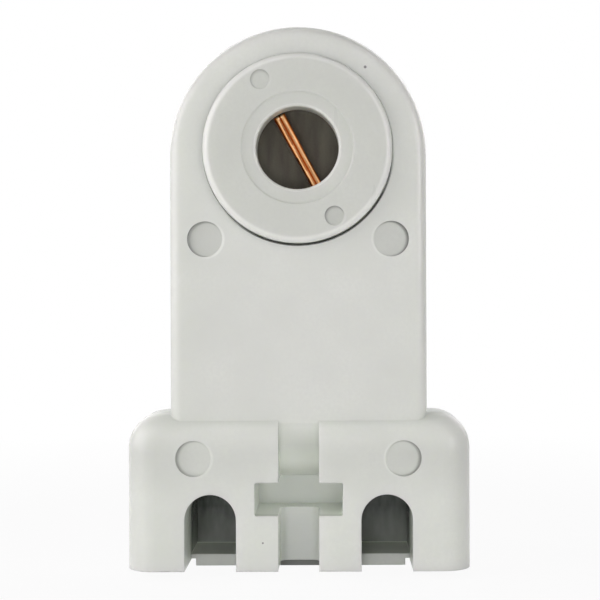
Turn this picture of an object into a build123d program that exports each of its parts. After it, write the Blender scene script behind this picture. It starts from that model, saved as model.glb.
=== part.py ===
"""Pedestal lamp holder for a single-pin fluorescent tube.

Frame: X to the right as seen from the front, Y to the back, Z up. The origin is
below the middle of the whole holder, on the underside of the rear cover's floor.
Depths count backwards from the front face of the base, and heights upwards from
the feet of the front housing. All sizes are in millimetres.
"""

import os
from math import cos, pi, radians, sin

from build123d import *

# Overall form
base_width = 38.8
base_height = 17.65
shoulder_radius = 3.2
corner_radius = 4.0
pedestal_width = 29.0
arch_height = 46.75
pedestal_setback = 1.0
rim_radius = 1.3
parting_depth = 7.5

# Walls
front_wall = 2.0
side_wall = 2.14
back_wall = 2.0
base_roof = 17.6
foot_wall = 1.6

# Floor of the rear cover, lower than the feet by the thickness of the fixture's sheet
sheet_step = 0.82
floor_thickness = 1.33
floor_gap = 0.4
floor_end_gap = 0.6

# Cross-shaped screw channel and nut slot
channel_width = 4.57
channel_depth = 6.9
channel_top = 16.5
channel_bulge = 1.2
channel_corner = 0.9
nut_slot_width = 9.88
nut_slot_height = 3.69
nut_slot_middle = 8.05
nut_slot_depth = 9.8
nut_box_wall = 1.3
slot_rounding = 0.2

# Wire entries
entry_offset = 9.9
entry_width = 5.77
entry_crown = 8.6

# Round moulding marks
mark_depth = 0.25
mark_tilt_deg = 5.0
mark_cut = 1.0
face_mark_radius = 1.97
face_mark_deg = 43.97
face_mark_wall = 1.29
base_mark_radius = 2.0
base_mark_inset = 2.75
base_mark_height = 12.62

# Rivets that hold the cover, behind the marks
boss_radius = 2.1
rivet_radius = 0.9
rivet_head_radius = 1.5
rivet_head_height = 0.8
rivet_head_recess = 0.2
rivet_bite = 3.6
rivet_clearance = 0.05

# Plunger
bore_height = 47.32
bore_radius = 4.62
bore_rounding = 0.35
disc_share = 0.862
disc_proud = 1.3
disc_rounding = 0.8
disc_clearance = 0.06
hole_rounding = 0.1
lean_share = 0.8
lean_deg = 107.0
flange_clearance = 0.36
flange_thickness = 1.4
flange_seat_gap = 0.05
dish_radius = 6.2
dish_depth = 0.16
hub_share = 0.5906
hub_length = 3.1
chamber_share = 0.822
chamber_start = 3.3
turn_deg = 28.5
disc_mark_radius = 1.09
disc_mark_share = 0.555
plunger_travel = 6.0
plunger_stop_gap = 0.55

# Hairpin contact
contact_end_gap = 1.45
contact_length = 3.2
contact_start_gap = 0.12
contact_end_half = 0.7
contact_waist_half = 0.6
contact_tail_half = 0.68
groove_end_half = 0.12
groove_waist_half = 0.12
groove_tail_half = 0.16
contact_fold = 0.46
contact_edge_rounding = 0.22
groove_depth = 0.45
foot_thickness = 0.4
foot_margin = 0.5
foot_half_width = 1.7
tail_clearance = 0.15

# Spring washer, spring and plunger cap; the shares are of the room between hub and flange's edge
washer_inner_share = 0.14
washer_outer_share = 0.66
washer_thickness = 0.5
spring_middle_share = 0.287
spring_wire = 0.9
spring_turns = 4.0
spring_end_turns = 0.6
cap_thickness = 0.8
cap_clearance = 0.06
cap_spigot_gap = 0.1
cap_edge = 0.2

# Terminal plate and wire clamps
plate_thickness = 0.6
pad_margin = 0.6
neck_width = 8.0
crossbar_top = 22.0
crossbar_bottom = 17.0
leg_gap = 0.1
leg_width = 3.4
leg_bottom = 7.2
leg_corner = 0.6
peg_radius = 0.8
peg_height = 1.3
peg_offset = 3.2
peg_clearance = 0.08
clamp_width = 3.0
clamp_thickness = 0.3
clamp_top = 16.8
clamp_shelf = 12.9
clamp_bottom = 7.5
clamp_front_gap = 0.1
clamp_tip_height = 11.2
clamp_tip_gap = 0.3
clamp_bend = 0.5
clamp_rivet_radius = 0.7
clamp_rivet_head = 1.2
clamp_rivet_head_height = 0.45
clamp_rivet_height = 14.9

# Depths worked out from the sizes above, from the front to the back
disc_front = pedestal_setback - disc_proud
wall_back = pedestal_setback + front_wall
flange_front = wall_back + flange_seat_gap
flange_back = flange_front + flange_thickness
foot_front = flange_back - foot_thickness
washer_back = flange_back + washer_thickness
contact_front = disc_front + chamber_start + contact_start_gap
contact_back = contact_front + contact_length
hub_back = flange_back + hub_length
plate_front = hub_back + cap_thickness + plunger_travel + plunger_stop_gap
cover_inside = plate_front + plate_thickness
back_depth = cover_inside + back_wall
nut_box_back = nut_slot_depth + nut_box_wall

# Radii about the bore's axis
cavity_half = pedestal_width / 2 - side_wall
flange_radius = cavity_half - flange_clearance
disc_radius = disc_share * cavity_half
disc_mark_offset = dish_radius + disc_mark_share * (disc_radius - dish_radius)
hub_radius = hub_share * cavity_half
chamber_radius = chamber_share * hub_radius
spring_room = flange_radius - hub_radius
spring_radius = hub_radius + spring_middle_share * spring_room
washer_inner_radius = hub_radius + washer_inner_share * spring_room
washer_outer_radius = hub_radius + washer_outer_share * spring_room
foot_reach = washer_outer_radius - foot_margin
pad_radius = spring_radius + spring_wire / 2 + pad_margin

# Places
front_y = (disc_front - back_depth) / 2 - disc_front
seat_z = sheet_step
lean = lean_share * disc_clearance
plunger_x = lean * cos(radians(lean_deg))
plunger_height = bore_height + lean * sin(radians(lean_deg))
plunger_z = seat_z + plunger_height
bore_z = seat_z + bore_height
face_mark_distance = cavity_half + rivet_radius + face_mark_wall
face_mark_offset = face_mark_distance * cos(radians(face_mark_deg))
face_mark_height = bore_height - face_mark_distance * sin(radians(face_mark_deg))
foot_half = pedestal_width / 2 - foot_wall
nut_slot_top = nut_slot_middle + nut_slot_height / 2
base_mark_offset = pedestal_width / 2 - base_mark_inset
leg_offset = base_mark_offset - boss_radius - leg_gap - leg_width / 2
rivet_places = [
    ("upper_left", -face_mark_offset, face_mark_height),
    ("upper_right", face_mark_offset, face_mark_height),
    ("lower_left", -base_mark_offset, base_mark_height),
    ("lower_right", base_mark_offset, base_mark_height),
]
sides = [("left", -1), ("right", 1)]


def face_plane(depth, x=0.0, height=0.0):
    """A plane facing the front, at a depth behind the base's face; its Y is up."""
    origin = (x, front_y + depth, seat_z + height)
    return Plane(origin=origin, x_dir=(1, 0, 0), z_dir=(0, -1, 0))


def mark_plane(depth, x, height):
    """A plane facing the front, tilted so that its outer side lies deeper."""
    tilt = radians(mark_tilt_deg)
    side = 1 if x > 0 else -1
    origin = (x, front_y + depth, seat_z + height)
    return Plane(origin=origin, x_dir=(cos(tilt), side * sin(tilt), 0),
                 z_dir=(side * sin(tilt), -cos(tilt), 0))


def side_plane(x=0.0):
    """A plane across X whose own X is the depth and whose own Y is the height."""
    return Plane(origin=(x, front_y, seat_z), x_dir=(0, 1, 0), z_dir=(1, 0, 0))


def turned_plane(depth):
    """A plane facing the front on the plunger's axis, its X along the contact's tail."""
    turn = radians(turn_deg)
    origin = (plunger_x, front_y + depth, plunger_z)
    return Plane(origin=origin, x_dir=(sin(turn), 0, -cos(turn)), z_dir=(0, -1, 0))


def axis_plane():
    """A half-section plane: its X is the radius from the plunger's axis, its Y the depth."""
    return Plane(origin=(plunger_x, front_y, plunger_z), x_dir=(1, 0, 0), z_dir=(0, 0, 1))


def at_depth(shapes, depth):
    """The edges or faces whose middles lie at one depth behind the base's face."""
    return shapes.filter_by_position(Axis.Y, front_y + depth - position_tolerance,
                                     front_y + depth + position_tolerance)


plunger_axis = Axis((plunger_x, front_y, plunger_z), (0, 1, 0))
position_tolerance = 0.01


# Outlines that the two halves of the shell share

with BuildSketch() as pedestal_outline:
    with Locations((0, arch_height)):
        Circle(pedestal_width / 2)
    Rectangle(pedestal_width, arch_height, align=(Align.CENTER, Align.MIN))

with BuildSketch() as cavity_outline:
    with Locations((0, bore_height)):
        Circle(cavity_half)
    with Locations((0, base_roof)):
        Rectangle(2 * cavity_half, bore_height - base_roof, align=(Align.CENTER, Align.MIN))


with BuildSketch() as boss_outline:
    with Locations(*[(x, height) for name, x, height in rivet_places]):
        Circle(boss_radius)
    add(pedestal_outline.sketch, mode=Mode.INTERSECT)
    with Locations((0, bore_height)):
        Circle(cavity_half, mode=Mode.SUBTRACT)


# Front housing

entry_radius = entry_width / 2
entry_spring = entry_crown - entry_radius
entry_outline_drop = 1.0

with BuildSketch() as entry_outline:
    with Locations((0, entry_spring)):
        Circle(entry_radius)
    with Locations((0, entry_spring)):
        Rectangle(entry_width, entry_spring + entry_outline_drop, align=(Align.CENTER, Align.MAX))

with BuildPart() as channel_space:
    with BuildSketch(side_plane(-channel_width / 2)):
        with BuildLine():
            SagittaArc((channel_depth, nut_slot_top), (pedestal_setback, channel_top), channel_bulge)
            Polyline(
                (pedestal_setback, channel_top),
                (pedestal_setback, base_height + shoulder_radius),
                (-shoulder_radius, base_height + shoulder_radius),
                (-shoulder_radius, -entry_outline_drop),
                (channel_depth, -entry_outline_drop),
                (channel_depth, nut_slot_top),
            )
        make_face()
    extrude(amount=channel_width)
    fillet(at_depth(channel_space.edges().filter_by(Axis.Z), channel_depth), channel_corner)

with BuildPart() as front_housing:
    with BuildSketch(face_plane(0)):
        Rectangle(base_width, base_height, align=(Align.CENTER, Align.MIN))
    extrude(amount=-parting_depth)
    fillet(front_housing.edges().filter_by(Axis.Y).group_by(Axis.Z)[-1], corner_radius)
    front_face = front_housing.faces().sort_by(Axis.Y)[0]
    fillet(front_face.edges().sort_by(Axis.Z)[1:], shoulder_radius)
    with BuildSketch(face_plane(pedestal_setback)):
        add(pedestal_outline.sketch)
    extrude(amount=-(parting_depth - pedestal_setback))
    pedestal_face = at_depth(front_housing.faces().filter_by(Axis.Y), pedestal_setback)
    rim_edges = pedestal_face.edges().filter_by_position(
        Axis.Z, seat_z + base_height, seat_z + arch_height + pedestal_width
    )
    fillet(rim_edges, rim_radius)
    with BuildSketch(face_plane(wall_back)):
        add(cavity_outline.sketch)
    extrude(amount=-(parting_depth - wall_back), mode=Mode.SUBTRACT)
    with BuildSketch(face_plane(wall_back)):
        add(boss_outline.sketch)
    extrude(amount=-(parting_depth - wall_back))
    with BuildSketch(face_plane(parting_depth)):
        with Locations(*[(x, height) for name, x, height in rivet_places]):
            Circle(rivet_radius + rivet_clearance)
    extrude(amount=rivet_bite, mode=Mode.SUBTRACT)
    with BuildSketch(face_plane(parting_depth)):
        with Locations((0, nut_slot_middle)):
            Rectangle(nut_slot_width + 2 * nut_box_wall, nut_slot_height + 2 * nut_box_wall)
    extrude(amount=-(nut_box_back - parting_depth))
    add(channel_space.part, mode=Mode.SUBTRACT)
    with BuildSketch(face_plane(0)):
        with Locations((0, nut_slot_middle)):
            RectangleRounded(nut_slot_width, nut_slot_height, slot_rounding)
    extrude(amount=-nut_slot_depth, mode=Mode.SUBTRACT)
    with BuildSketch(face_plane(0)):
        with Locations((-entry_offset, 0), (entry_offset, 0)):
            add(entry_outline.sketch)
    extrude(amount=-parting_depth, mode=Mode.SUBTRACT)
    with BuildSketch(face_plane(0)):
        with Locations((0, bore_height)):
            Circle(disc_radius + disc_clearance)
    extrude(amount=-wall_back, mode=Mode.SUBTRACT)
    hole_edges = at_depth(front_housing.edges().filter_by(GeomType.CIRCLE), pedestal_setback)
    fillet(hole_edges.sort_by(SortBy.RADIUS)[0], hole_rounding)
    for name, side in sides:
        with BuildSketch(mark_plane(pedestal_setback + mark_depth, side * face_mark_offset, face_mark_height)):
            Circle(face_mark_radius)
        extrude(amount=mark_cut, mode=Mode.SUBTRACT)
        with BuildSketch(mark_plane(mark_depth, side * base_mark_offset, base_mark_height)):
            Circle(base_mark_radius)
        extrude(amount=mark_cut, mode=Mode.SUBTRACT)

front_housing.part.label = "front_housing"


# Rear cover

with BuildPart() as rear_cover:
    with BuildSketch(face_plane(parting_depth)):
        add(pedestal_outline.sketch)
    extrude(amount=-(back_depth - parting_depth))
    back_face = rear_cover.faces().sort_by(Axis.Y)[-1]
    fillet(back_face.edges().sort_by(Axis.Z)[1:], rim_radius)
    with BuildSketch(face_plane(parting_depth)):
        with Locations((0, bore_height)):
            Circle(cavity_half)
        with Locations((0, -entry_outline_drop)):
            Rectangle(2 * cavity_half, bore_height + entry_outline_drop, align=(Align.CENTER, Align.MIN))
            Rectangle(2 * foot_half, base_roof + entry_outline_drop, align=(Align.CENTER, Align.MIN))
    extrude(amount=-(cover_inside - parting_depth), mode=Mode.SUBTRACT)
    with BuildSketch(face_plane(parting_depth + floor_gap)):
        with Locations((0, -sheet_step)):
            Rectangle(2 * (foot_half - floor_end_gap), floor_thickness, align=(Align.CENTER, Align.MIN))
        Rectangle(2 * foot_half, floor_thickness - sheet_step, align=(Align.CENTER, Align.MIN))
    extrude(amount=-(back_depth - parting_depth - floor_gap))
    with BuildSketch(face_plane(parting_depth)):
        add(boss_outline.sketch)
    extrude(amount=-(cover_inside - parting_depth))
    with BuildSketch(face_plane(parting_depth)):
        with Locations(*[(x, height) for name, x, height in rivet_places]):
            Circle(rivet_radius + rivet_clearance)
    extrude(amount=-(back_depth - parting_depth), mode=Mode.SUBTRACT)
    with BuildSketch(face_plane(back_depth)):
        with Locations(*[(x, height) for name, x, height in rivet_places]):
            Circle(rivet_head_radius + rivet_clearance)
    extrude(amount=rivet_head_height + rivet_head_recess, mode=Mode.SUBTRACT)
    with BuildSketch(face_plane(cover_inside)):
        with Locations((-peg_offset, (crossbar_top + crossbar_bottom) / 2),
                       (peg_offset, (crossbar_top + crossbar_bottom) / 2)):
            Circle(peg_radius)
    extrude(amount=peg_height)

rear_cover.part.label = "rear_cover"


# Plunger

with BuildPart() as plunger:
    with BuildSketch(axis_plane()):
        with BuildLine():
            Polyline(
                (bore_radius, disc_front + dish_depth),
                (dish_radius, disc_front + dish_depth),
                (dish_radius + dish_depth, disc_front),
                (disc_radius, disc_front),
                (disc_radius, flange_front),
                (flange_radius, flange_front),
                (flange_radius, flange_back),
                (hub_radius, flange_back),
                (hub_radius, hub_back),
                (chamber_radius, hub_back),
                (chamber_radius, disc_front + chamber_start),
                (bore_radius, disc_front + chamber_start),
                close=True,
            )
        make_face()
    revolve(axis=plunger_axis)
    circles = plunger.edges().filter_by(GeomType.CIRCLE)
    fillet(at_depth(circles, disc_front).sort_by(SortBy.RADIUS)[-1], disc_rounding)
    fillet(at_depth(circles, disc_front + dish_depth).sort_by(SortBy.RADIUS)[0], bore_rounding)
    with BuildSketch(turned_plane(foot_front)):
        Rectangle(
            foot_reach + tail_clearance,
            2 * (foot_half_width + tail_clearance),
            align=(Align.MIN, Align.CENTER),
        )
    extrude(amount=-(hub_back - foot_front), mode=Mode.SUBTRACT)
    with BuildSketch(turned_plane(disc_front)):
        with Locations((-disc_mark_offset, 0), (disc_mark_offset, 0)):
            Circle(disc_mark_radius)
    extrude(amount=-dish_depth, mode=Mode.SUBTRACT)

plunger.part.label = "plunger"


# Hairpin contact

hairpin_start = contact_end_gap - chamber_radius
hairpin_end = hub_radius + tail_clearance
hairpin_middle = (hairpin_start + hairpin_end) / 2
groove_start = hairpin_start + contact_fold

with BuildSketch() as contact_outline:
    with BuildLine():
        ThreePointArc(
            (hairpin_start, contact_end_half),
            (hairpin_middle, contact_waist_half),
            (hairpin_end, contact_tail_half),
        )
        Polyline(
            (hairpin_end, contact_tail_half),
            (hairpin_end, 0),
            (hairpin_start, 0),
            (hairpin_start, contact_end_half),
        )
    make_face()
    mirror(about=Plane.XZ)

with BuildSketch() as groove_outline:
    with BuildLine():
        ThreePointArc(
            (groove_start, groove_end_half),
            (hairpin_middle, groove_waist_half),
            (hairpin_end, groove_tail_half),
        )
        Polyline(
            (hairpin_end, groove_tail_half),
            (hairpin_end, 0),
            (groove_start, 0),
            (groove_start, groove_end_half),
        )
    make_face()
    mirror(about=Plane.XZ)

with BuildPart() as pin_contact:
    with BuildSketch(turned_plane(contact_front)):
        add(contact_outline.sketch)
        add(groove_outline.sketch, mode=Mode.SUBTRACT)
    extrude(amount=-groove_depth)
    fillet(at_depth(pin_contact.edges(), contact_front), contact_edge_rounding)
    with BuildSketch(turned_plane(contact_front + groove_depth)):
        add(contact_outline.sketch)
    extrude(amount=-(contact_length - groove_depth))
    with BuildSketch(turned_plane(contact_front)):
        with Locations(((chamber_radius + foot_reach) / 2, 0)):
            Rectangle(foot_reach - chamber_radius + 2 * tail_clearance, 2 * foot_half_width)
    extrude(amount=-(foot_front - contact_front), mode=Mode.SUBTRACT)
    with BuildSketch(turned_plane(foot_front)):
        with Locations((hub_radius, groove_tail_half), (hub_radius, -foot_half_width)):
            Rectangle(
                foot_reach - hub_radius,
                foot_half_width - groove_tail_half,
                align=(Align.MIN, Align.MIN),
            )
    extrude(amount=-foot_thickness)

pin_contact.part.label = "pin_contact"


# Plunger cap, closes the chamber

with BuildPart() as plunger_cap:
    with BuildSketch(face_plane(hub_back, plunger_x, plunger_height)):
        Circle(hub_radius)
    extrude(amount=-cap_thickness)
    fillet(plunger_cap.edges().group_by(Axis.Y)[-1], cap_edge)
    with BuildSketch(face_plane(hub_back, plunger_x, plunger_height)):
        Circle(chamber_radius - cap_clearance)
    extrude(amount=hub_back - contact_back - cap_spigot_gap)

plunger_cap.part.label = "plunger_cap"


# Spring washer

with BuildPart() as spring_washer:
    with BuildSketch(face_plane(flange_back, 0, bore_height)):
        Circle(washer_outer_radius)
        Circle(washer_inner_radius, mode=Mode.SUBTRACT)
    extrude(amount=-washer_thickness)

spring_washer.part.label = "spring_washer"


# Coil spring with a closed turn at each end

spring_start = washer_back + spring_wire / 2
spring_rise = plate_front - washer_back - spring_wire
spring_points_per_turn = 12


def spring_share(turn):
    """How far along the axis the wire has climbed after some turns: slow at both ends."""
    active = spring_turns - 2 * spring_end_turns
    closed = spring_wire * spring_end_turns
    if turn < spring_end_turns:
        return spring_wire * turn
    if turn > spring_turns - spring_end_turns:
        return spring_rise - spring_wire * (spring_turns - turn)
    climbed = (turn - spring_end_turns) / active
    eased = climbed - sin(2 * pi * climbed) / (2 * pi) / 2
    return closed + (spring_rise - 2 * closed) * eased


def spring_point(turn):
    angle = 2 * pi * turn
    return (
        spring_radius * cos(angle),
        front_y + spring_start + spring_share(turn),
        bore_z + spring_radius * sin(angle),
    )


spring_steps = round(spring_turns * spring_points_per_turn)

with BuildPart() as plunger_spring:
    with BuildLine() as spring_line:
        Spline(*[spring_point(step / spring_points_per_turn) for step in range(spring_steps + 1)])
    with BuildSketch(Plane(origin=spring_line.line @ 0, z_dir=spring_line.line % 0)):
        Circle(spring_wire / 2)
    sweep()

plunger_spring.part.label = "plunger_spring"


# Terminal plate

crossbar_width = 2 * leg_offset + leg_width
crossbar_middle = (crossbar_top + crossbar_bottom) / 2

with BuildPart() as terminal_plate:
    with BuildSketch(face_plane(plate_front)) as plate_outline:
        with Locations((0, bore_height)):
            Circle(pad_radius)
        with Locations((0, crossbar_bottom)):
            Rectangle(neck_width, bore_height - crossbar_bottom, align=(Align.CENTER, Align.MIN))
        with Locations((0, crossbar_middle)):
            Rectangle(crossbar_width, crossbar_top - crossbar_bottom)
        with Locations((-leg_offset, leg_bottom), (leg_offset, leg_bottom)):
            Rectangle(leg_width, crossbar_middle - leg_bottom, align=(Align.CENTER, Align.MIN))
        fillet(plate_outline.vertices(), leg_corner)
        with Locations((-peg_offset, crossbar_middle), (peg_offset, crossbar_middle)):
            Circle(peg_radius + peg_clearance, mode=Mode.SUBTRACT)
        with Locations((-leg_offset, clamp_rivet_height), (leg_offset, clamp_rivet_height)):
            Circle(clamp_rivet_radius, mode=Mode.SUBTRACT)
    extrude(amount=-plate_thickness)

terminal_plate.part.label = "terminal_plate"


# Push-in wire clamps and their rivets


def make_clamp(side, name):
    """A leaf riveted to the plate's leg, bent forward and down, then back up to the wire."""
    start_x = side * leg_offset - clamp_width / 2
    front = nut_box_back + clamp_front_gap + clamp_thickness / 2
    back = plate_front - clamp_thickness / 2
    with BuildPart() as clamp:
        with BuildSketch(side_plane(start_x)):
            with BuildLine():
                FilletPolyline(
                    (back, clamp_top),
                    (back, clamp_shelf),
                    (front, clamp_shelf),
                    (front, clamp_bottom + clamp_bend),
                    (front + clamp_bend, clamp_bottom),
                    (back - clamp_tip_gap, clamp_tip_height),
                    radius=clamp_bend,
                )
                offset(amount=clamp_thickness / 2)
            make_face()
        extrude(amount=clamp_width)
        with BuildSketch(face_plane(plate_front, side * leg_offset, clamp_rivet_height)):
            Circle(clamp_rivet_radius)
        extrude(amount=clamp_thickness, mode=Mode.SUBTRACT)
    clamp.part.label = name
    return clamp.part


def make_clamp_rivet(side, name):
    """A rivet with a low round head in front of the clamp."""
    with BuildPart() as rivet:
        with BuildSketch(face_plane(cover_inside, side * leg_offset, clamp_rivet_height)):
            Circle(clamp_rivet_radius)
        extrude(amount=plate_thickness + clamp_thickness)
        with BuildSketch(face_plane(plate_front - clamp_thickness, side * leg_offset, clamp_rivet_height)):
            Circle(clamp_rivet_head)
        extrude(amount=clamp_rivet_head_height)
        fillet(rivet.edges().group_by(Axis.Y)[0], clamp_rivet_head_height / 2)
    rivet.part.label = name
    return rivet.part


# Rivets that hold the cover


def make_cover_rivet(x, height, name):
    """A blind rivet from the back of the cover into the housing's boss."""
    head_back = back_depth - rivet_head_recess
    head_front = head_back - rivet_head_height
    with BuildPart() as rivet:
        with BuildSketch(face_plane(head_back, x, height)):
            Circle(rivet_head_radius)
        extrude(amount=rivet_head_height)
        fillet(rivet.edges().group_by(Axis.Y)[-1], rivet_head_height / 2)
        with BuildSketch(face_plane(head_front, x, height)):
            Circle(rivet_radius)
        extrude(amount=head_front - parting_depth + rivet_bite - rivet_clearance)
    rivet.part.label = name
    return rivet.part


pieces = [
    front_housing.part,
    rear_cover.part,
    plunger.part,
    pin_contact.part,
    plunger_cap.part,
    spring_washer.part,
    plunger_spring.part,
    terminal_plate.part,
]
for side_name, side in sides:
    pieces.append(make_clamp(side, side_name + "_wire_clamp"))
    pieces.append(make_clamp_rivet(side, side_name + "_clamp_rivet"))
for place, x, height in rivet_places:
    pieces.append(make_cover_rivet(x, height, place + "_rivet"))

os.makedirs("parts", exist_ok=True)
for piece in pieces:
    export_step(piece, "parts/" + piece.label + ".step")
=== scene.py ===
"""Studio picture of a pedestal lamp holder: its finishes, its coil spring, light and camera."""

from math import cos, pi, radians, sin

import bpy
from mathutils import Matrix, Vector


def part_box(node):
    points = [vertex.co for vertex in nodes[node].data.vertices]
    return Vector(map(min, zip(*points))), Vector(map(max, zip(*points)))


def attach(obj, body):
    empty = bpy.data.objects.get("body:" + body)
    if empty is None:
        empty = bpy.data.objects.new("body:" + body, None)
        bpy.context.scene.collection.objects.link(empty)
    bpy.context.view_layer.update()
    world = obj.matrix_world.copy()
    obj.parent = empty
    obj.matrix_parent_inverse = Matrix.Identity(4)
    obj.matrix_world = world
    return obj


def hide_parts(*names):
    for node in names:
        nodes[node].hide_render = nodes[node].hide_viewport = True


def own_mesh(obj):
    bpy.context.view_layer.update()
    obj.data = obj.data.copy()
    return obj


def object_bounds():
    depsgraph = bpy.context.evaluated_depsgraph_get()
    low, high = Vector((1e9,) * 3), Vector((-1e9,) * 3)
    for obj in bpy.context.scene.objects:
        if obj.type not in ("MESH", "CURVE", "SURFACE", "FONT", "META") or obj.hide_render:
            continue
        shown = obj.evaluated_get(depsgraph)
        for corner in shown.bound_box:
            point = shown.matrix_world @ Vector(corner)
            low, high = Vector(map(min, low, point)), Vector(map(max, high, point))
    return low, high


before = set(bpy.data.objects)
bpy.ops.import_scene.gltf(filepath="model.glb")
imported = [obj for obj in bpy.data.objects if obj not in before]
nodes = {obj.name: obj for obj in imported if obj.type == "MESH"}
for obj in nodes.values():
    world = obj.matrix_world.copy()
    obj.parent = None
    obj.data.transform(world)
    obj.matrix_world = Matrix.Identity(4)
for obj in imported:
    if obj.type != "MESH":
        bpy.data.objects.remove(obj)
cad_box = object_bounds()

# Camera, from the perspective of the object's edges
photo_lens = 80.6
sensor_width = 36.0
camera_distance = 0.150
camera_height = 0.03115
camera_side = 0.00414
camera_roll = radians(-0.19)
near_clip = 0.01
optical_axis_px = 335
frame_px = 600

# Light, as a share of the level at which a colour renders as it is written
ambient_level = 0.095
light_tint = (1.0, 0.93, 1.0)
# name: azimuth and elevation in degrees, distance, size, level, seen in gloss
lamps = {
    "side_light": (-75.0, 10.0, 0.9, 0.9, 0.89, True),
    "right_light": (46.0, 10.0, 0.9, 0.4, 0.225, True),
    "fill_light": (-2.0, -5.0, 0.16, 0.04, 0.23, False),
    "top_light": (-8.0, 35.0, 0.9, 0.4, 0.08, False),
    "back_left_light": (-145.0, 30.0, 0.9, 0.7, 0.235, True),
    "back_right_light": (140.0, 30.0, 0.9, 0.7, 0.235, True),
}

# Backdrop, duller to the far left and right where only gloss sees it, and floor
white = (1.0, 1.0, 1.0)
black = (0.0, 0.0, 0.0)
flag_tone = 0.3
flag_range = (0.88, 0.97)
floor_half = 1.5
floor_colour = (0.85, 0.85, 0.85)
floor_roughness = 0.9
floor_glow = 0.93
glow_range = (0.06, 0.16)

# Colours, linear
housing_colour = (0.775, 0.832, 0.74)
insert_colour = (0.665, 0.714, 0.632)
# painted shade inside the rear cover
inside_shade_colour = (0.030, 0.047, 0.028)
chamber_colour = (0.12, 0.119, 0.089)
copper_colour = (0.98, 0.54, 0.24)
# copper strip: tarnish, also used as painted shade on its edges; a paler tone as a painted
# highlight on its ridges
tarnish_and_edge_shade_colour = (0.5, 0.12, 0.02)
ridge_highlight_colour = (1.0, 0.68, 0.4)
groove_colour = (0.36, 0.07, 0.01)
brass_colour = (0.66, 0.47, 0.21)
spring_colour = (0.42, 0.42, 0.41)
strip_colour = (0.36, 0.37, 0.37)
rivet_colour = (0.52, 0.52, 0.50)

# Parts of a noise's range over which it blends
wide_blend = (0.3, 0.7)
narrow_blend = (0.35, 0.65)
even_stretch = (1.0, 1.0, 1.0)

# Moulded plastic: sizes in metres, tones as shares of its colour
housing_roughness = 0.24
insert_roughness = 0.28
cloud_size = 0.006
cloud_tones = (0.965, 1.03)
grain_size = 0.0004
grain_tone = 0.97
flow_size = 0.003
flow_stretch = (1.0, 1.0, 0.25)
shader_samples = 6
edge_radius = 0.00018
edge_tone = 1.1
# Painted shade in concave corners: how far occlusion is sought, and the tone there
corner_shade_reach = 0.0006
corner_shade_tone = 0.9
plastic_ior = 1.5
scatter_share = 0.6
scatter_depth = 0.0025
scatter_radius = (1.0, 1.0, 0.9)

# Round moulding marks: how far the side with painted shade is shifted, and how the parts of the rim
# blend
mark_radius = 0.002
mark_shift = 0.00018
mark_edge = 0.00002
shade_inside = 0.00022
shade_outside = 0.00012
ring_inside = 0.00015
ring_near = 0.0001
ring_far = 0.0003
# rivet behind the mark: direction in degrees of its side with painted shade, tones of that painted
# shade, of the painted highlight on the opposite side and of the floor
mark_sides = {
    "upper_left_rivet": (158.0, 0.6, 1.12, 0.87),
    "upper_right_rivet": (15.0, 0.42, 1.03, 0.87),
    "lower_left_rivet": (175.0, 0.65, 1.02, 0.97),
    "lower_right_rivet": (0.0, 0.52, 1.02, 0.97),
}
insert_turn = radians(28.5)
insert_mark_radius = 0.00109
insert_mark_offset = 0.00867
upper_insert_sides = (125.0, 0.8, 1.05, 0.99)
lower_insert_sides = (135.0, 0.65, 1.08, 0.9)

# Painted highlight bands on the insert's rounded edges: inner and outer radius, tone
rim_highlight_band = (0.00985, 0.01075, 1.22)
bore_highlight_band = (0.0046, 0.0049, 1.14)
highlight_band_edge = 0.00002

# Housing: heights of a painted shade band on the base, painted shade at the hole's edge,
# painted light in the channel's recess, specks
base_shade_low, base_shade_middle, base_shade_high = 0.0085, 0.0130, 0.0168
base_shade_blend = 0.001
base_shade_tone = 0.905
upper_shade_tone = 0.955
hole_radius = 0.010714
# Painted shade at the lower right of the plunger's hole: width, direction in degrees, tone
hole_shade_width = 0.00022
hole_shade_deg = -72.0
hole_shade_tone = 0.1
# Painted light in the screw channel's recess: its box and tone
recess_half, recess_front, recess_back, recess_top = 0.0052, -0.0073, 0.01, 0.0128
recess_light_tone = 1.14
specks = [((0.00762, -0.0076, 0.05734), 0.0002), ((-0.00401, -0.0086, 0.00402), 0.00013)]
speck_tone = 0.35

# Rear cover: painted shade inside behind the wire entries, and on the front edge of the floor
inside_half = 0.01295
inside_top = 0.03
inside_setback = 0.0002
inside_overlap = 0.0001
inside_floor = 0.00135
inside_rise = 0.0045
inside_shade_shares = (0.6, 1.0)
streak_size = 0.0014
streak_stretch = (1.0, 1.0, 0.35)
streak_shares = (0.9, 1.0)
# painted shade on the floor's front edge: half width, reach before and behind the front, tone
floor_edge_shade_half = 0.0023
floor_edge_shade_before = 0.001
floor_edge_shade_depth = 0.0006
floor_edge_shade_tone = 0.3

# Contact: half widths of its dark groove and of its strip
contact_roughness = 0.42
contact_edge_radius = 0.00012
contact_cloud_size = 0.0012
groove_half = 0.00013
strip_half = 0.00051


# Nodes of a material


def add_node(material, kind, inputs=None, **settings):
    """Adds one shader node; an input may be a value or another node's output."""
    node = material.node_tree.nodes.new(kind)
    for name, value in settings.items():
        setattr(node, name, value)
    for name, value in (inputs or {}).items():
        if isinstance(value, bpy.types.NodeSocket):
            material.node_tree.links.new(value, node.inputs[name])
        else:
            node.inputs[name].default_value = value
    return node


def new_material(name):
    """A material and its shader."""
    material = bpy.data.materials.new(name)
    material.use_nodes = True
    return material, material.node_tree.nodes["Principled BSDF"]


def join(material, output, socket):
    """Links an output to an input."""
    material.node_tree.links.new(output, socket)


def object_place(material):
    """Coordinates in metres that stay with the piece when its body moves."""
    return add_node(material, "ShaderNodeTexCoord").outputs["Object"]


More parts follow.
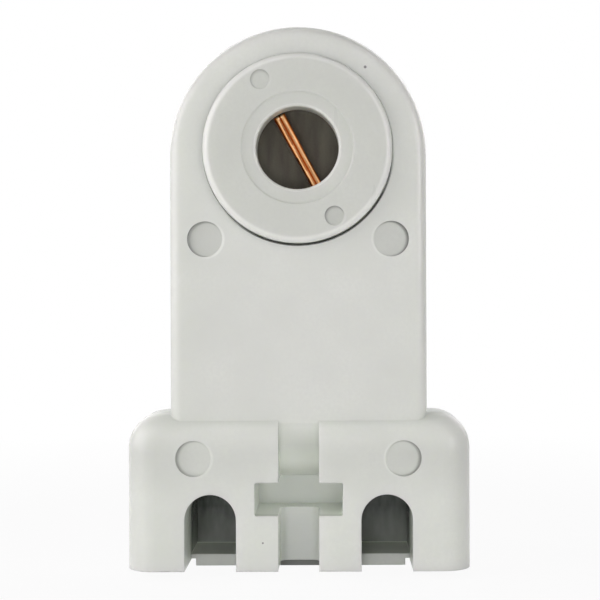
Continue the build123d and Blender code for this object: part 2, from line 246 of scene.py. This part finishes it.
def apart(material, place):
    """The X, Y and Z of a place."""
    return add_node(material, "ShaderNodeSeparateXYZ", {"Vector": place}).outputs


def maths(material, operation, *values):
    """One sum on numbers."""
    inputs = dict(enumerate(values))
    return add_node(material, "ShaderNodeMath", inputs, operation=operation).outputs[0]


def multiply(material, first, *others):
    """The product of some numbers."""
    product = first
    for other in others:
        product = maths(material, "MULTIPLY", product, other)
    return product


def vector_maths(material, operation, output, *values):
    """One sum on vectors."""
    inputs = dict(enumerate(values))
    return add_node(material, "ShaderNodeVectorMath", inputs, operation=operation).outputs[output]


def noise(material, place, size, detail=2.0, stretch=even_stretch):
    """Noise whose blotches are about one size across, longer along an axis with a small stretch."""
    spread = add_node(material, "ShaderNodeMapping", {"Vector": place, "Scale": stretch})
    inputs = {"Vector": spread.outputs["Vector"], "Scale": 1.0 / size, "Detail": detail}
    return add_node(material, "ShaderNodeTexNoise", inputs).outputs["Fac"]


def between(material, factor, low, high, from_low=0.0, from_high=1.0):
    """A number that runs from low to high as the factor does."""
    inputs = {"Value": factor, "From Min": from_low, "From Max": from_high,
              "To Min": low, "To Max": high}
    return add_node(material, "ShaderNodeMapRange", inputs).outputs["Result"]


def rising(material, factor, start, end):
    """0 up to the start and 1 from the end on."""
    return between(material, factor, 0.0, 1.0, start, end)


def falling(material, factor, start, end):
    """1 up to the start and 0 from the end on."""
    return between(material, factor, 1.0, 0.0, start, end)


def mix_colour(material, factor, first, second):
    """Two colours mixed by a factor that varies over the surface."""
    node = add_node(material, "ShaderNodeMix", data_type="RGBA")
    for socket, value in zip((node.inputs[0], node.inputs[6], node.inputs[7]),
                             (factor, first, second)):
        if isinstance(value, bpy.types.NodeSocket):
            join(material, value, socket)
        else:
            socket.default_value = (*value, 1.0)
    return node.outputs[2]


def scaled(colour, share):
    """A colour with each channel brought to a share of itself."""
    return tuple(channel * share for channel in colour)


def darken(material, factor, colour, share):
    """The colour, brought down to a share of itself where the factor is 1."""
    return mix_colour(material, between(material, factor, 0.0, 1.0 - share), colour, black)


def lighten(material, factor, colour, base, share):
    """The colour, brought up to a multiple of the base colour where the factor is 1."""
    return mix_colour(material, factor, colour, scaled(base, share))


def soft_edges(material, radius):
    """Normals that round off the edges of a piece."""
    bevel = add_node(material, "ShaderNodeBevel", {"Radius": radius}, samples=shader_samples)
    return bevel.outputs["Normal"]


def bumps(material, height, strength, distance, normal=None):
    """Normals bumped by a height."""
    inputs = {"Height": height, "Strength": strength, "Distance": distance}
    if normal is not None:
        inputs["Normal"] = normal
    return add_node(material, "ShaderNodeBump", inputs).outputs["Normal"]


# Places on a surface

mask_blend = 0.0001
front_blend = 0.0002
top_blend = 0.002


def speck(material, place, middle, radius):
    """1 inside a small spot on the surface, 0 outside it."""
    away = vector_maths(material, "DISTANCE", "Value", place, middle)
    return falling(material, away, 0.6 * radius, radius)


def away_from_axis(material, place, x, z):
    """Distance from a line along Y through a point of the front."""
    flat = vector_maths(material, "MULTIPLY", "Vector", place, (1.0, 0.0, 1.0))
    return vector_maths(material, "DISTANCE", "Value", flat, (x, 0.0, z))


def box_mask(material, place, side, front, back, top):
    """1 between two depths, below a height and near the middle plane, 0 elsewhere."""
    x, y, z = apart(material, place)
    within = falling(material, maths(material, "ABSOLUTE", x), side, side + mask_blend)
    deep = rising(material, y, front, front + front_blend)
    shallow = falling(material, y, back, back + mask_blend)
    below = falling(material, z, top, top + top_blend)
    return multiply(material, within, deep, shallow, below)


# Tones painted on the moulded pieces


def mark_tone(material, place, tone, base, x, z, radius, shade_deg, shade, lit, floor_tone):
    """A round moulding mark: rim with painted shade on one side and a painted highlight on the
    other, floor a little duller.
    """
    shade_x, shade_z = cos(radians(shade_deg)), sin(radians(shade_deg))
    away = away_from_axis(material, place, x, z)
    shifted = away_from_axis(material, place, x - mark_shift * shade_x, z - mark_shift * shade_z)
    floor = falling(material, away, radius - mark_edge, radius + mark_edge)
    rim = rising(material, shifted, radius - shade_inside, radius + shade_outside)
    lean = maths(material, "SUBTRACT", away, shifted)
    facing = rising(material, lean, 0.1 * mark_shift, 0.9 * mark_shift)
    inner = rising(material, away, radius - ring_inside, radius - mark_edge)
    outer = falling(material, away, radius + ring_near, radius + ring_far)
    tone = darken(material, floor, tone, floor_tone)
    tone = darken(material, multiply(material, floor, rim), tone, shade)
    return lighten(material, multiply(material, inner, outer, facing), tone, base, lit)


def shade_at_hole(material, place, tone, x, z):
    """Painted shade on the edge of the plunger's hole, where the gap round the insert is widest."""
    shade_x, shade_z = cos(radians(hole_shade_deg)), sin(radians(hole_shade_deg))
    away = away_from_axis(material, place, x, z)
    shifted = away_from_axis(material, place, x - hole_shade_width * shade_x, z - hole_shade_width * shade_z)
    lean = maths(material, "SUBTRACT", shifted, away)
    side = rising(material, lean, 0.35 * hole_shade_width, 0.75 * hole_shade_width)
    edge = falling(material, away, hole_radius + 0.6 * hole_shade_width, hole_radius + hole_shade_width)
    return darken(material, multiply(material, side, edge), tone, hole_shade_tone)


def highlight_band_tone(material, place, tone, base, x, z, low, high, share):
    """A painted highlight: a paler ring round an axis, along a rounded edge."""
    away = away_from_axis(material, place, x, z)
    rise = rising(material, away, low, low + 0.3 * (high - low))
    fall = falling(material, away, high + highlight_band_edge, high + 2 * highlight_band_edge)
    return lighten(material, multiply(material, rise, fall), tone, base, share)


def paint_housing(material, place, tone):
    """Painted shade on the upper base and the pedestal, marks, painted shade at the hole's edge,
    painted light in the channel's recess, and two specks.
    """
    height = apart(material, place)["Z"]
    # Painted shade: a duller band across the base's front, and everything above it slightly duller
    rise = rising(material, height, base_shade_low, base_shade_middle)
    fall = falling(material, height, base_shade_middle + base_shade_blend, base_shade_high)
    upper = rising(material, height, base_shade_high, base_shade_high + base_shade_blend)
    tone = darken(material, multiply(material, rise, fall), tone, base_shade_tone)
    tone = darken(material, upper, tone, upper_shade_tone)
    for name, sides in mark_sides.items():
        tone = mark_tone(material, place, tone, housing_colour, *middle_of(name), mark_radius,
                         *sides)
    tone = shade_at_hole(material, place, tone, *middle_of("spring_washer"))
    # Painted light: the screw channel's recess paler
    recess = box_mask(material, place, recess_half, recess_front, recess_back, recess_top)
    tone = lighten(material, recess, tone, housing_colour, recess_light_tone)
    for middle, radius in specks:
        tone = darken(material, speck(material, place, middle, radius), tone, speck_tone)
    return tone


def paint_cover(material, place, tone):
    """Painted shade inside, streaked and darker higher up, and painted shade on the front edge of
    the floor.
    """
    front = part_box("rear_cover")[0].y
    plate_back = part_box("terminal_plate")[1].y
    # Painted shade inside, behind the wire entries, streaked and darker higher up
    inside = box_mask(material, place, inside_half, front + inside_setback,
                      plate_back + inside_overlap, inside_top)
    height = apart(material, place)["Z"]
    above = between(material, height, *inside_shade_shares, inside_floor, inside_floor + inside_rise)
    off_floor = rising(material, height, inside_floor, inside_floor + mask_blend)
    streaks = noise(material, place, streak_size, detail=3.0, stretch=streak_stretch)
    shade_streaks = between(material, streaks, *streak_shares, *narrow_blend)
    inside_shade = multiply(material, inside, above, off_floor, shade_streaks)
    tone = mix_colour(material, inside_shade, tone, inside_shade_colour)
    # Painted shade on the front edge of the floor, behind the channel's foot
    floor_edge_shade = box_mask(material, place, floor_edge_shade_half, front - floor_edge_shade_before, front + floor_edge_shade_depth,
                     inside_top)
    return darken(material, floor_edge_shade, tone, floor_edge_shade_tone)


def paint_insert(material, place, tone):
    """Painted highlights on the rim and the bore's edge, and two marks in line with the contact."""
    x, z = middle_of("plunger")
    for band in (rim_highlight_band, bore_highlight_band):
        tone = highlight_band_tone(material, place, tone, insert_colour, x, z, *band)
    across = insert_mark_offset * sin(insert_turn)
    along = insert_mark_offset * cos(insert_turn)
    tone = mark_tone(material, place, tone, insert_colour, x - across, z + along,
                     insert_mark_radius, *upper_insert_sides)
    return mark_tone(material, place, tone, insert_colour, x + across, z - along,
                     insert_mark_radius, *lower_insert_sides)


# Finishes


def moulded_plastic(name, colour, roughness, paint):
    """White moulded plastic: faint clouds, fine pimples, edges softly rounded and paler, and
    painted shade in concave corners.
    """
    material, shader = new_material(name)
    place = object_place(material)
    clouds = noise(material, place, cloud_size, detail=3.0)
    grain = noise(material, place, grain_size)
    flow = noise(material, place, flow_size, stretch=flow_stretch)
    tone = mix_colour(material, between(material, clouds, 0.0, 1.0, *wide_blend),
                      *(scaled(colour, share) for share in cloud_tones))
    tone = lighten(material, between(material, grain, 0.0, 0.5, *narrow_blend), tone,
                   colour, grain_tone)

    rounded = soft_edges(material, edge_radius)
    flat = add_node(material, "ShaderNodeNewGeometry").outputs["Normal"]
    agree = vector_maths(material, "DOT_PRODUCT", "Value", rounded, flat)
    tone = lighten(material, between(material, agree, 0.35, 0.0, 0.80, 0.995), tone,
                   colour, edge_tone)
    # Painted shade: concave corners darker where occlusion finds them
    corners = add_node(material, "ShaderNodeAmbientOcclusion", {"Distance": corner_shade_reach},
                       samples=shader_samples, only_local=True).outputs["AO"]
    tone = darken(material, falling(material, corners, 0.45, 1.0), tone, corner_shade_tone)
    join(material, paint(material, place, tone), shader.inputs["Base Color"])

    gloss = between(material, flow, roughness - 0.015, roughness + 0.02, 0.1, 0.9)
    join(material, gloss, shader.inputs["Roughness"])
    pimples = bumps(material, grain, strength=0.12, distance=0.00004, normal=rounded)
    waves = bumps(material, clouds, strength=0.25, distance=0.0001, normal=pimples)
    join(material, waves, shader.inputs["Normal"])
    shader.inputs["IOR"].default_value = plastic_ior
    shader.inputs["Subsurface Weight"].default_value = scatter_share
    shader.inputs["Subsurface Scale"].default_value = scatter_depth
    shader.inputs["Subsurface Radius"].default_value = scatter_radius
    return material


def dull_plastic(name, colour):
    """Dark insulation with faint upright streaks, as pressed fibre has."""
    material, shader = new_material(name)
    place = object_place(material)
    streaks = noise(material, place, size=0.0016, detail=3.0, stretch=(1.0, 1.0, 0.2))
    grain = noise(material, place, size=0.0002)
    tone = mix_colour(material, between(material, streaks, 0.0, 1.0, *wide_blend),
                      scaled(colour, 0.75), scaled(colour, 1.35))
    join(material, tone, shader.inputs["Base Color"])
    join(material, between(material, grain, 0.5, 0.75, *wide_blend), shader.inputs["Roughness"])
    bumpy = bumps(material, grain, strength=0.3, distance=0.00005)
    join(material, bumpy, shader.inputs["Normal"])
    return material


def drawn_metal(name, colour, roughness, tarnish, stretch=(1.0, 1.0, 0.08)):
    """Metal with fine drawing lines along the axis that is stretched, and cloudy tarnish."""
    material, shader = new_material(name)
    place = object_place(material)
    lines = noise(material, place, size=0.0002, stretch=stretch)
    clouds = noise(material, place, size=0.0025, detail=3.0)
    tone = mix_colour(material, between(material, clouds, 0.0, 1.0, 0.42, 0.68),
                      colour, scaled(colour, tarnish))
    join(material, tone, shader.inputs["Base Color"])
    shader.inputs["Metallic"].default_value = 1.0
    polish = between(material, lines, roughness - 0.08, roughness + 0.1, *wide_blend)
    join(material, polish, shader.inputs["Roughness"])
    bumpy = bumps(material, lines, strength=0.25, distance=0.00003)
    join(material, bumpy, shader.inputs["Normal"])
    return material


def folded_strip(name, x, z):
    """Copper strip folded on itself: ridges with a painted highlight, a dark groove between them,
    and painted shade on the edges.
    """
    material, shader = new_material(name)
    place = object_place(material)
    from_middle = vector_maths(material, "SUBTRACT", "Vector", place, (x, 0.0, z))
    across = vector_maths(material, "DOT_PRODUCT", "Value", from_middle,
                          (cos(insert_turn), 0.0, sin(insert_turn)))
    aside = maths(material, "ABSOLUTE", across)
    groove = falling(material, aside, 0.6 * groove_half, groove_half)
    edge = rising(material, aside, 0.8 * strip_half, strip_half)
    ridge = between(material, aside, 0.9, 0.0, 0.5 * strip_half, 0.8 * strip_half)
    clouds = noise(material, place, contact_cloud_size, detail=3.0)
    tone = mix_colour(material, between(material, clouds, 0.0, 0.35, *narrow_blend),
                      copper_colour, tarnish_and_edge_shade_colour)
    # Painted highlight along the ridges
    tone = mix_colour(material, ridge, tone, ridge_highlight_colour)
    # Painted shade on the edges
    tone = mix_colour(material, edge, tone, tarnish_and_edge_shade_colour)
    tone = mix_colour(material, groove, tone, groove_colour)
    join(material, tone, shader.inputs["Base Color"])
    shader.inputs["Metallic"].default_value = 1.0
    polish = between(material, clouds, contact_roughness - 0.05, contact_roughness + 0.06,
                     *wide_blend)
    join(material, polish, shader.inputs["Roughness"])
    bumpy = bumps(material, clouds, strength=0.15, distance=0.00003,
                  normal=soft_edges(material, contact_edge_radius))
    join(material, bumpy, shader.inputs["Normal"])
    return material


def dress(names, material):
    """Gives CAD nodes one material."""
    for name in names:
        data = nodes[name].data
        data.materials.clear()
        data.materials.append(material)


def middle_of(name):
    """X and Z of the middle of a node's box."""
    low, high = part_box(name)
    return (low.x + high.x) / 2, (low.z + high.z) / 2


def dress_cad_nodes():
    """Gives each CAD node that shows its finish."""
    dress(["front_housing"],
          moulded_plastic("front_plastic", housing_colour, housing_roughness, paint_housing))
    dress(["rear_cover"],
          moulded_plastic("cover_plastic", housing_colour, housing_roughness, paint_cover))
    dress(["plunger"],
          moulded_plastic("insert_plastic", insert_colour, insert_roughness, paint_insert))
    dress(["plunger_cap"], dull_plastic("chamber_insulation", chamber_colour))
    dress(["pin_contact"], folded_strip("copper_strip", *middle_of("plunger")))
    dress(["terminal_plate", "spring_washer"],
          drawn_metal("stamped_brass", brass_colour, roughness=0.38, tarnish=0.7))
    dress(["left_wire_clamp", "right_wire_clamp"],
          drawn_metal("spring_strip", strip_colour, roughness=0.34, tarnish=0.8))
    dress([name for name in nodes if name.endswith("_rivet")],
          drawn_metal("plated_rivet", rivet_colour, roughness=0.34, tarnish=0.75,
                      stretch=even_stretch))


# Coil spring, in place of the CAD solid

spring_turns = 4.0
spring_end_turns = 0.6
wire_radius = 0.00045
ring_points = 14
points_per_turn = 40


def spring_share(turn, rise):
    """How far along the axis the wire has climbed after some turns: slow at both ends."""
    wire = 2 * wire_radius
    closed = wire * spring_end_turns
    if turn < spring_end_turns:
        return wire * turn
    if turn > spring_turns - spring_end_turns:
        return rise - wire * (spring_turns - turn)
    climbed = (turn - spring_end_turns) / (spring_turns - 2 * spring_end_turns)
    eased = climbed - sin(2 * pi * climbed) / (4 * pi)
    return closed + (rise - 2 * closed) * eased


def make_spring():
    """A wire wound round the plunger's hub, between the washer and the terminal plate."""
    low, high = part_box("plunger_spring")
    washer_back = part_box("spring_washer")[1].y
    plate_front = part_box("terminal_plate")[0].y
    centre_x = (low.x + high.x) / 2
    centre_z = (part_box("spring_washer")[0].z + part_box("spring_washer")[1].z) / 2
    coil_radius = (high.x - low.x) / 2 - wire_radius
    start = washer_back + wire_radius
    rise = plate_front - washer_back - 2 * wire_radius

    def middle(turn):
        angle = 2 * pi * turn
        return Vector((centre_x + coil_radius * cos(angle), start + spring_share(turn, rise),
                       centre_z + coil_radius * sin(angle)))

    step = 1.0 / points_per_turn
    turns = [index * step for index in range(round(spring_turns * points_per_turn) + 1)]
    verts = []
    for turn in turns:
        here = middle(turn)
        before = middle(max(turn - step / 2, 0.0))
        after = middle(min(turn + step / 2, spring_turns))
        along = (after - before).normalized()
        outward = Vector((cos(2 * pi * turn), 0.0, sin(2 * pi * turn)))
        aside = along.cross(outward).normalized()
        for index in range(ring_points):
            angle = 2 * pi * index / ring_points
            verts.append(here + wire_radius * (cos(angle) * outward + sin(angle) * aside))
    faces = []
    for ring in range(len(turns) - 1):
        for index in range(ring_points):
            here = ring * ring_points + index
            beside = ring * ring_points + (index + 1) % ring_points
            faces.append((here, here + ring_points, beside + ring_points, beside))
    last = (len(turns) - 1) * ring_points
    faces.append(tuple(range(ring_points)))
    faces.append(tuple(last + index for index in reversed(range(ring_points))))
    mesh = bpy.data.meshes.new("coil_spring")
    mesh.from_pydata(verts, [], faces)
    mesh.update()
    for face in mesh.polygons:
        face.use_smooth = len(face.vertices) == 4
    spring = bpy.data.objects.new("coil_spring", mesh)
    bpy.context.scene.collection.objects.link(spring)
    mesh.materials.append(drawn_metal("spring_wire", spring_colour, roughness=0.3, tarnish=0.8,
                                      stretch=even_stretch))
    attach(spring, "housing")
    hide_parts("plunger_spring")
    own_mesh(spring)


# Floor, light and camera


def seen_plainly(material, path):
    """1 for rays from the camera and for reflections, 0 for others."""
    return maths(material, "MAXIMUM", path["Is Camera Ray"], path["Is Glossy Ray"])


def make_floor():
    """A white sheet that shows as white paper and keeps a soft shadow round the feet."""
    mesh = bpy.data.meshes.new("floor")
    corners = [(-floor_half, -floor_half, 0.0), (floor_half, -floor_half, 0.0),
               (floor_half, floor_half, 0.0), (-floor_half, floor_half, 0.0)]
    mesh.from_pydata(corners, [], [(0, 1, 2, 3)])
    floor = bpy.data.objects.new("floor", mesh)
    bpy.context.scene.collection.objects.link(floor)
    material, shader = new_material("white_paper")
    shader.inputs["Base Color"].default_value = (*floor_colour, 1.0)
    shader.inputs["Roughness"].default_value = floor_roughness
    seen = seen_plainly(material, add_node(material, "ShaderNodeLightPath").outputs)
    distance = vector_maths(material, "LENGTH", "Value", object_place(material))
    share = between(material, distance, floor_glow, 1.0, *glow_range)
    glow = add_node(material, "ShaderNodeEmission", {"Color": (*white, 1.0), "Strength": 1.0})
    blend = add_node(material, "ShaderNodeMixShader",
                     {0: multiply(material, seen, share), 1: shader.outputs["BSDF"],
                      2: glow.outputs["Emission"]})
    output = material.node_tree.nodes["Material Output"]
    join(material, blend.outputs[0], output.inputs["Surface"])
    mesh.materials.append(material)


def make_world():
    """White where it is seen, also in a reflection, and a low even light everywhere else."""
    world = bpy.data.worlds.new("studio")
    world.use_nodes = True
    bpy.context.scene.world = world
    path = add_node(world, "ShaderNodeLightPath").outputs
    through = maths(world, "MAXIMUM", seen_plainly(world, path), path["Is Transmission Ray"])
    direction = add_node(world, "ShaderNodeTexCoord").outputs["Generated"]
    aside = maths(world, "ABSOLUTE", apart(world, direction)["X"])
    flags = multiply(world, rising(world, aside, *flag_range), path["Is Glossy Ray"])
    backdrop = mix_colour(world, flags, white, scaled(white, flag_tone))
    ambient = scaled(light_tint, ambient_level)
    background = world.node_tree.nodes["Background"]
    join(world, mix_colour(world, through, ambient, backdrop), background.inputs["Color"])
    background.inputs["Strength"].default_value = 1.0


def make_softbox(name, azimuth, elevation, distance, size, level, in_gloss):
    """A square area light aimed at the object; at level 1 it alone renders a colour as written."""
    light = bpy.data.lights.new(name, "AREA")
    light.shape = "SQUARE"
    light.size = size
    light.energy = pi * pi * distance * distance * level
    light.color = light_tint
    lamp = bpy.data.objects.new(name, light)
    bpy.context.scene.collection.objects.link(lamp)
    side, up = radians(azimuth), radians(elevation)
    away = Vector((sin(side) * cos(up), -cos(side) * cos(up), sin(up)))
    middle = (cad_box[0] + cad_box[1]) / 2
    lamp.location = middle + distance * away
    lamp.rotation_euler = away.to_track_quat("Z", "Y").to_euler()
    lamp.visible_glossy = in_gloss
    lamp.visible_camera = False


def make_camera():
    """The photograph's view: level, a little right of the middle, half way up the holder."""
    data = bpy.data.cameras.new("camera")
    data.lens = photo_lens
    data.sensor_width = sensor_width
    data.shift_x = (frame_px / 2 - optical_axis_px) / frame_px
    data.clip_start = near_clip
    camera = bpy.data.objects.new("camera", data)
    bpy.context.scene.collection.objects.link(camera)
    base_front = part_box("front_housing")[0].y
    camera.location = Vector((camera_side, base_front - camera_distance, camera_height))
    turn = Vector((0.0, -1.0, 0.0)).to_track_quat("Z", "Y")
    camera.rotation_mode = "QUATERNION"
    camera.rotation_quaternion = turn @ Matrix.Rotation(camera_roll, 3, "Z").to_quaternion()
    bpy.context.scene.camera = camera


dress_cad_nodes()
make_spring()
make_floor()
make_world()
for lamp_name, settings in lamps.items():
    make_softbox(lamp_name, *settings)
make_camera()

bpy.context.scene.view_settings.view_transform = "Standard"
